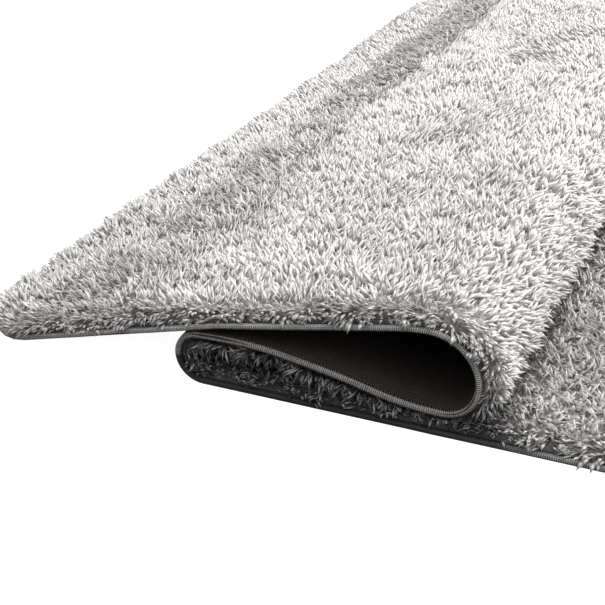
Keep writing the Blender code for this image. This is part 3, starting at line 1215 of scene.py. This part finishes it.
def plenty_at(s, y):
    """How thickly strands are planted at s, y: thinner where the open floor run is far
    from the folds, crowded at the rim, and where the folds cover the pile only near the
    front and back edges."""
    shown = 1.0 - smooth_step(*COVERED_EDGE, min(y, RUG_WIDTH - y))
    start = fold_start("first fold, lower", y)
    near, far = [start - before for before in FAR_FLOOR]
    plenty = 1.0
    if s < start:
        plenty = FAR_PLENTY + (1 - FAR_PLENTY) * smooth_step(far, near, s)
    crowded = 1.0 - smooth_step(*CROWDED_RIM, edge_distance(s, y))
    plenty += (EDGE_PLENTY - plenty) * crowded
    return plenty * max(1.0 - shade_at(s, y), shown)


def reach_at(pile, s, y):
    """The share of its length that a strand has at s, y: less at the rim, and less
    where a fold lies over it, so that it ends short of that fold's backing."""
    radius = (squeezed_height(s, y) + SQUEEZED_GAP - BACKING_THICKNESS) / SQUEEZED_SHARE
    shade = shade_at(s, y)
    room = ROOM_SHARE * radius + BACKING_THICKNESS - root_height(pile, s, y)
    room *= 1 + (COVERED_ROOM - 1) * shade
    rim_reach = RIM_REACH + (END_REACH - RIM_REACH) * at_end(s)
    rim_reach += (1 - rim_reach) * shade + TIP_REACH * near_tip(s)
    reach = 1 - (1 - rim_reach) * at_rim(s, y)
    return max(LEAST_REACH, min(reach, room / (LONGEST * pile.strand_length)))


def root_height(pile, s, y):
    """Where strands start, which is less deep in the bed at the rim."""
    depth = ROOT_DEPTH * (1 - (1 - RIM_ROOT_DEPTH) * at_rim(s, y))
    return max(bed_height(pile, s, y) - depth, BACKING_THICKNESS)


def stance_at(pile, s, y):
    """How far strands lean over at s, y and how far they stray from that."""
    near = smooth_step(*EDGE_LEAN, edge_distance(s, y))
    shade = shade_at(s, y)
    far = smooth_step(*BACK, y) * (1 - on_floor(s, y))
    open_tilt = pile.tilt + (FLOOR_TILT - pile.tilt) * on_floor(s, y) + BACK_TILT * far
    open_tilt -= FLAP_RISE * on_flap(s, y)
    edge_tilt = FRONT_TILT + (FLAP_TILT - FRONT_TILT) * on_flap(s, y)
    edge_tilt += (RIM_TILT - edge_tilt) * at_rim(s, y)
    edge_tilt += (END_TILT - edge_tilt) * at_end(s)
    edge_tilt += (COVERED_TILT - edge_tilt) * shade
    tilt = open_tilt + (edge_tilt - open_tilt) * near
    tilt += UNEVEN_TILT * drift(s, y, UNEVEN_WAVE, TILT_LAYER)
    edge_spread = EDGE_SPREAD + (END_SPREAD - EDGE_SPREAD) * at_end(s)
    spread = pile.spread * (1 - BACK_SPREAD * far)
    spread += (edge_spread - spread) * near**2
    return tilt, spread + (COVERED_SPREAD - spread) * shade


def off_sheen_shade_at(s, y):
    """How much painted shade the pile gets, which a painted sheen at the back of the folded
    layers takes away: most on the flap but for its dark band."""
    sheen = smooth_step(*PAINTED_SHEEN, y) * (1 - on_floor(s, y))
    off_sheen = OFF_SHEEN_SHARE + (1 - OFF_SHEEN_SHARE) * on_flap(s, y) * (1 - in_band(s, y))
    return OFF_SHEEN_SHADE * (1 - sheen) * off_sheen


def make_planting(pile, rows, name):
    """The open sheet on which strands are planted, with how they stand at each point."""
    skin = Skin()
    values = {"aim": [], "droop": [], "plenty": [], "reach": [], "spread": [], "shade": []}
    for row in rows:
        for s, y in row:
            along, across, upright = directions(s, y)
            way = way_at(s, y)
            flat = (along * way.x + across * way.y).normalized()
            tilt, spread = stance_at(pile, s, y)
            values["aim"].append(upright * math.cos(tilt) + flat * math.sin(tilt))
            values["droop"].append(flat)
            values["plenty"].append(plenty_at(s, y))
            values["spread"].append(spread)
            # Painted shade: deep in the folds, on the outermost strands, and away from the painted
            # sheen
            shade = max(shade_at(s, y), RIM_SHADE * at_rim(s, y), off_sheen_shade_at(s, y))
            values["shade"].append(shade)
            values["reach"].append(reach_at(pile, s, y))
    skin.sheet(rows, lambda s, y: root_height(pile, s, y))
    mesh = bpy.data.meshes.new(name)
    mesh.from_pydata(skin.points, [], skin.faces)
    for key, stored in values.items():
        store(mesh, key, stored)
    return put_in_scene(name, mesh)


def strand_shape(tree, bent):
    """A strand with a flat upper side, which starts along Z and bends towards X by a
    share of its length. It widens up to WIDEST_AT of its length."""
    size = tree.given["Strand length"]
    line = tree.add("GeometryNodeCurvePrimitiveLine", {"End": tree.xyz(z=size)})[0]
    inputs = {"Curve": line, "Count": STRAND_POINTS}
    line = tree.add("GeometryNodeResampleCurve", inputs, mode="COUNT")[0]
    point = tree.add("GeometryNodeSplineParameter")["Index"]
    factor = tree.math("MULTIPLY", point, 1 / (STRAND_POINTS - 1))
    up = tree.math("POWER", factor, math.log(WIDEST_AT) / math.log(0.5))
    aside = tree.math("MULTIPLY", tree.math("POWER", up, 2.0), tree.math("MULTIPLY", size, bent))
    line = tree.moved(line, tree.xyz(x=aside, z=tree.math("MULTIPLY", up, size)))
    line = tree.stored(line, "up the strand", up, "FLOAT", "POINT")
    rest = tree.math("SUBTRACT", 1.0, factor)
    belly = tree.math("MULTIPLY", tree.math("MULTIPLY", factor, rest), 4.0)
    radius = tree.math("MULTIPLY", tree.given["Strand width"], STRAND_RADIUS)
    inputs = {
        "Geometry": tree.yarn_section(radius),
        "Rotation": (0.0, 0.0, math.pi / 2),
        "Scale": (FLATNESS, 1.0, 1.0),
    }
    ring = tree.add("GeometryNodeTransform", inputs)[0]
    inputs = {"Curve": line, "Profile Curve": ring, "Scale": belly}
    strand = tree.add("GeometryNodeCurveToMesh", inputs)[0]
    inputs = {"Geometry": strand, "Distance": SEAM}
    return tree.add("GeometryNodeMergeByDistance", inputs)[0]


def strand_shapes(tree):
    """A strand for each bend, to pick from."""
    shapes = tree.add("GeometryNodeGeometryToInstance")[0]
    for bent in STRAND_BENDS:
        tree.tree.links.new(strand_shape(tree, bent), shapes.node.inputs[0])
    return shapes


def strand_turn(tree):
    """Turns each strand along the sheet's aim and towards the side it droops to, and
    lets it stray from both with its clump and by itself."""
    place = tree.add("GeometryNodeInputPosition")[0]
    scale = tree.math("DIVIDE", 1.0, tree.given["Clump size"])
    inputs = {"Vector": place, "Scale": scale, "Detail": 1.0}
    clump = tree.add("ShaderNodeTexNoise", inputs)["Color"]
    clump = tree.vector("SUBTRACT", clump, (0.5, 0.5, 0.5))
    clump = tree.scaled(clump, tree.given["Clumping"])
    single = tree.chance(STRAY_SEED, (-STRAY,) * 3, (STRAY,) * 3)
    stray = tree.scaled(tree.vector("ADD", single, clump), tree.attribute("spread"))
    aim = tree.attribute("aim", "FLOAT_VECTOR")
    stray = tree.vector("SUBTRACT", stray, tree.vector("PROJECT", stray, aim))
    droop = tree.vector("ADD", tree.attribute("droop", "FLOAT_VECTOR"), stray)
    inputs = {"Vector": tree.vector("ADD", aim, stray)}
    turn = tree.add("FunctionNodeAlignRotationToVector", inputs, axis="Z")[0]
    inputs = {"Rotation": turn, "Vector": droop}
    return tree.add("FunctionNodeAlignRotationToVector", inputs, axis="X", pivot_axis="Z")[0]


def strand_size(tree):
    """Scales each strand: thinner where its painted shade is deeper, and shorter where the
    sheet's reach is less or its aims turn so fast that they cancel out."""
    covered = tree.math("MULTIPLY", tree.attribute("shade"), COVERED_THINNING)
    thick = tree.chance(THICKNESS_SEED, *THICKNESSES)
    thick = tree.math("MULTIPLY", thick, tree.math("SUBTRACT", 1.0, covered))
    long = tree.chance(LENGTH_SEED, SHORTEST, LONGEST)
    long = tree.math("MULTIPLY", long, tree.attribute("reach"))
    aim = tree.attribute("aim", "FLOAT_VECTOR")
    sure = tree.add("ShaderNodeVectorMath", {0: aim}, operation="LENGTH")["Value"]
    return tree.xyz(thick, thick, tree.math("MULTIPLY", long, sure))


def strand_shaded_tone(tree):
    """Each strand's brightness, from 0 to 1: a random tone, darkened by a random share of its
    painted shade.
    """
    shading = tree.chance(SHADING_SEED, *SHADINGS)
    shade = tree.math("MULTIPLY", tree.attribute("shade"), shading)
    tone = tree.chance(TONE_SEED, *TONES)
    return tree.math("MULTIPLY", tone, tree.math("SUBTRACT", 1.0, shade))


def above_floor(tree, geometry):
    """Eases what would sink into the floor up onto it, and hardly moves the rest."""
    x, y, z = tree.add("ShaderNodeSeparateXYZ", {0: tree.add("GeometryNodeInputPosition")[0]})
    slack = tree.math("ADD", tree.math("MULTIPLY", z, z), FLOOR_EASE**2)
    raised = tree.math("MULTIPLY", tree.math("ADD", z, tree.math("SQRT", slack)), 0.5)
    return tree.moved(geometry, tree.xyz(x, y, raised))


def strand_tree():
    """Strands planted at random on a sheet. Their UV map holds each strand's tone, with its
    painted shade, across and its length up."""
    tree = GeometryTree(
        "Pile strands",
        (
            ("Density", "NodeSocketFloat", 58000.0),
            ("Strand length", "NodeSocketFloat", 0.0205),
            ("Strand width", "NodeSocketFloat", 0.0042),
            ("Clump size", "NodeSocketFloat", CLUMP_SIZE),
            ("Clumping", "NodeSocketFloat", CLUMPING),
            ("Seed", "NodeSocketInt", 1),
            ("Material", "NodeSocketMaterial", None),
        ),
    )
    given = tree.given
    density = tree.math("MULTIPLY", given["Density"], tree.attribute("plenty"))
    inputs = {"Mesh": given["Geometry"], "Density": density, "Seed": given["Seed"]}
    roots = tree.add("GeometryNodeDistributePointsOnFaces", inputs)["Points"]
    inputs = {
        "Points": roots,
        "Instance": strand_shapes(tree),
        "Pick Instance": True,
        "Instance Index": tree.chance(SHAPE_SEED, 0, len(STRAND_BENDS) - 1),
        "Rotation": strand_turn(tree),
        "Scale": strand_size(tree),
    }
    strands = tree.add("GeometryNodeInstanceOnPoints", inputs)[0]
    # Each strand's tone, darkened by its painted shade
    strands = tree.stored(strands, "tone", strand_shaded_tone(tree), "FLOAT", "INSTANCE")
    strands = tree.add("GeometryNodeRealizeInstances", {0: strands})[0]
    strands = above_floor(tree, strands)
    corner = tree.add("GeometryNodeFaceOfCorner")["Index in Face"]
    across = tree.math("MULTIPLY", tree.attribute("tone"), MAP_SPAN)
    across = tree.math("ADD", across, tree.math("MULTIPLY", corner, MAP_STEP))
    up = tree.remap(tree.attribute("up the strand"), 0.0, 1.0, *MAP_ENDS)
    strands = tree.stored(strands, "OFBake", tree.xyz(across, up), "FLOAT2", "CORNER")
    strands = tree.add("GeometryNodeSetShadeSmooth", {0: strands})[0]
    tree.finish(strands, given["Material"])
    return tree


def strand_material(pile):
    """Soft shiny yarn: a little painted shade at its root, light at its tip, no two strands
    quite the same grey, and each darkened by its own painted shade."""
    material, nodes, shader = new_material("pile yarn")
    place = nodes.add("ShaderNodeUVMap", uv_map="OFBake")[0]
    tone, up, _ = nodes.add("ShaderNodeSeparateXYZ", {0: place})
    part = nodes.remap(up, *TIP_COLOUR_AT, 0.0, 1.0)
    tint = nodes.mixed(part, opaque(pile.root_colour), opaque(pile.tip_colour))
    # The tone carries each strand's painted shade
    light = nodes.remap(tone, 0.0, 1.0, *BRIGHTNESS)
    grey = nodes.add("ShaderNodeCombineColor", {0: light, 1: light, 2: light})[0]
    tint = nodes.mixed(1.0, tint, grey, "MULTIPLY")
    plug(nodes, shader, Base_Color=tint, Roughness=0.62, Specular_IOR_Level=0.12)
    return material


# Pieces of the pile, by where they start and end on the rug. Each stays well under
# 200,000 triangles.
PLOTS = (
    # name, first fold, share of it, last fold, share of it
    ("pile_floor_right", "floor run", 0.0, "floor run", 0.50),
    ("pile_floor_left", "floor run", 0.50, "first fold, lower", 0.0),
    ("pile_folds", "first fold, lower", 0.0, "second fold, side", 0.0),
    ("pile_turn", "second fold, side", 0.0, "top run", 0.30),
    ("pile_top", "top run", 0.30, "flap", 0.10),
    ("pile_flap", "flap", 0.10, "tip", 1.0),
)


def plot_rows(rows, first, first_share, last, last_share):
    """The rows of the grid from one place in the folds to another."""
    runs = section(RUG_WIDTH / 2)
    middles = [row[len(row) // 2][0] for row in rows]

    def nearest(name, part):
        start, _, _, _, size, _ = runs[FOLD_NAMES.index(name)]
        return min(range(len(rows)), key=lambda i: abs(middles[i] - start - size * part))

    return rows[nearest(first, first_share) : nearest(last, last_share) + 1]


def make_strands(pile):
    """A piece of strands for each plot, planted a little inside the bed's own rim."""
    rows = PILE_LINES.grid(PLANTING_INSET)
    tree = strand_tree()
    material = strand_material(pile)
    pieces = []
    for i, (name, *ends) in enumerate(PLOTS):
        planting = make_planting(pile, plot_rows(rows, *ends), "planting")
        piece = tree.run(
            planting,
            name,
            Density=pile.strand_density,
            Strand_length=pile.strand_length,
            Strand_width=pile.strand_width,
            Seed=pile.seed + i,
            Material=material,
        )
        keep_attributes(piece.data, "OFBake")
        pieces.append(piece)
    return pieces


# Stage

FLOOR_HALF = 30.0
FLOOR_CLOUD_SCALE = 0.8
FLOOR_CLOUD = 0.985
SENSOR_WIDTH = 36.0
CLIP = (0.05, 60.0)
LIGHTS = (
    # name, place, what it faces, size, the setting for its power
    ("overhead", (2.1, 0.9, 2.3), (-0.1, 0.1, 0.0), 2.4, "key_power"),
    ("fill", (-1.6, -2.4, 1.6), (0.0, 0.0, 0.0), 1.6, "fill_power"),
)

# The sky is brightest where the cosine of the turn from this way is at least SKY_FULL,
# and fades to its least light at right angles to it
SKY_WAY = (0.25, 0.25, 0.94)
SKY_FULL = 0.85
SKY_LEAST = 0.05


def floor_material(stage):
    material, nodes, shader = new_material("pale floor")
    place = nodes.add("ShaderNodeTexCoord")["Object"]
    light = stage.floor_colour
    cloud = nodes.noise(place, FLOOR_CLOUD_SCALE)
    tint = nodes.mixed(cloud, opaque(light, FLOOR_CLOUD), opaque(light))
    plug(nodes, shader, Base_Color=tint, Roughness=0.9, Specular_IOR_Level=0.1)
    white = opaque((1.0, 1.0, 1.0))
    plug(nodes, shader, Emission_Color=white, Emission_Strength=stage.floor_glow)
    return material


def make_floor(stage):
    """A wide, flat floor that throws no light back onto the rug."""
    half = FLOOR_HALF
    mesh = bpy.data.meshes.new("floor")
    corners = [(-half, -half, 0.0), (half, -half, 0.0), (half, half, 0.0), (-half, half, 0.0)]
    mesh.from_pydata(corners, [], [(0, 1, 2, 3)])
    mesh.materials.append(floor_material(stage))
    floor = put_in_scene("floor", mesh)
    floor.visible_diffuse = False
    floor.visible_glossy = False
    return floor


def aim_at(thing, place, target):
    """Puts a lamp or a camera in its place and faces it towards its target."""
    thing.location = place
    thing.rotation_euler = (Vector(target) - Vector(place)).to_track_quat("-Z", "Y").to_euler()


def make_light(name, place, target, size, power):
    """A square lamp that faces its target."""
    light = bpy.data.lights.new(name, "AREA")
    light.shape = "SQUARE"
    light.size = size
    light.energy = power
    lamp = bpy.data.objects.new(name, light)
    bpy.context.scene.collection.objects.link(lamp)
    aim_at(lamp, place, target)
    return lamp


def make_camera(stage):
    camera = bpy.data.cameras.new("camera")
    camera.lens = stage.lens
    camera.sensor_width = SENSOR_WIDTH
    camera.clip_start, camera.clip_end = CLIP
    eye = bpy.data.objects.new("camera", camera)
    bpy.context.scene.collection.objects.link(eye)
    azimuth, elevation = stage.camera_azimuth, stage.camera_elevation
    ahead = Vector(
        (
            -math.sin(azimuth) * math.cos(elevation),
            math.cos(azimuth) * math.cos(elevation),
            -math.sin(elevation),
        )
    )
    place = Vector((stage.camera_x, -stage.camera_back, stage.camera_height))
    aim_at(eye, place, place + ahead)
    bpy.context.scene.camera = eye
    return eye


def make_surroundings(stage):
    """A white sky that is brightest nearly overhead, and the scene's plain colours."""
    world = bpy.data.worlds.new("soft light")
    world.use_nodes = True
    nodes = Nodes(world.node_tree)
    background = world.node_tree.nodes["Background"]
    way = nodes.add("ShaderNodeTexCoord")["Generated"]
    inputs = {0: way, 1: Vector(SKY_WAY).normalized()}
    facing = nodes.add("ShaderNodeVectorMath", inputs, operation="DOT_PRODUCT")["Value"]
    above = nodes.remap(facing, 0.0, SKY_FULL, 0.0, 1.0)
    white = (1.0, 1.0, 1.0)
    tint = nodes.mixed(above, opaque(white, SKY_LEAST), opaque(white))
    plug(nodes, background, Color=tint, Strength=stage.sky_strength)
    scene = bpy.context.scene
    scene.world = world
    scene.view_settings.view_transform = "Standard"
    scene.view_settings.look = "None"


# Operators


def ride_as(piece, slot, *nodes):
    """Fixes a piece to the root, in place of the nodes named, which it hides. Its slot is not used.
    """
    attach(piece, "root")
    if nodes:
        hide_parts(*nodes)


class RUG_OT_stage(bpy.types.Operator):
    """Make the floor, the lights and the camera"""

    bl_idname = "rug.make_stage"
    bl_label = "Stage"
    bl_options = {"REGISTER", "UNDO"}

    def execute(self, context):
        stage = context.scene.rug_stage
        make_camera(stage)
        make_floor(stage)
        make_surroundings(stage)
        for *light, setting in LIGHTS:
            make_light(*light, getattr(stage, setting))
        return {"FINISHED"}


class RUG_OT_backing(bpy.types.Operator):
    """Make the woven backing"""

    bl_idname = "rug.make_backing"
    bl_label = "Backing"
    bl_options = {"REGISTER", "UNDO"}

    def execute(self, context):
        ride_as(make_backing(context.scene.rug_cloth), "backing", "backing")
        return {"FINISHED"}


class RUG_OT_binding(bpy.types.Operator):
    """Make the binding and its overlocking stitches"""

    bl_idname = "rug.make_binding"
    bl_label = "Binding"
    bl_options = {"REGISTER", "UNDO"}

    def execute(self, context):
        cloth = context.scene.rug_cloth
        ride_as(make_binding_core(cloth), "binding", "binding")
        ride_as(make_stitches(cloth), "binding", "binding")
        return {"FINISHED"}


class RUG_OT_pile(bpy.types.Operator):
    """Make the pile's dense bed and plant the strands in it"""

    bl_idname = "rug.make_pile"
    bl_label = "Pile"
    bl_options = {"REGISTER", "UNDO"}

    def execute(self, context):
        pile = context.scene.rug_pile
        for piece in [make_bed(pile), *make_strands(pile)]:
            ride_as(piece, "pile", "pile")
        return {"FINISHED"}


class VIEW3D_PT_rug(bpy.types.Panel):
    """Lists the rug's settings and pieces"""

    bl_label = "Shag Rug"
    bl_space_type = "VIEW_3D"
    bl_region_type = "UI"
    bl_category = "Rug"

    def draw(self, context):
        layout = self.layout
        for title, group in (("Cloth", "rug_cloth"), ("Pile", "rug_pile"), ("Stage", "rug_stage")):
            box = layout.box()
            box.label(text=title)
            settings = getattr(context.scene, group)
            for name in settings.bl_rna.properties.keys():
                if name not in ("rna_type", "name"):
                    box.prop(settings, name)
        for operator in (RUG_OT_stage, RUG_OT_backing, RUG_OT_binding, RUG_OT_pile):
            layout.operator(operator.bl_idname)


CLASSES = (
    RugClothSettings,
    RugPileSettings,
    RugStageSettings,
    RUG_OT_stage,
    RUG_OT_backing,
    RUG_OT_binding,
    RUG_OT_pile,
    VIEW3D_PT_rug,
)


def register():
    for item in CLASSES:
        bpy.utils.register_class(item)
    bpy.types.Scene.rug_cloth = bpy.props.PointerProperty(type=RugClothSettings)
    bpy.types.Scene.rug_pile = bpy.props.PointerProperty(type=RugPileSettings)
    bpy.types.Scene.rug_stage = bpy.props.PointerProperty(type=RugStageSettings)


def unregister():
    del bpy.types.Scene.rug_stage
    del bpy.types.Scene.rug_pile
    del bpy.types.Scene.rug_cloth
    for item in reversed(CLASSES):
        bpy.utils.unregister_class(item)


def main():
    register()
    bpy.ops.rug.make_stage()
    bpy.ops.rug.make_backing()
    bpy.ops.rug.make_binding()
    bpy.ops.rug.make_pile()


if __name__ == "__main__":
    main()
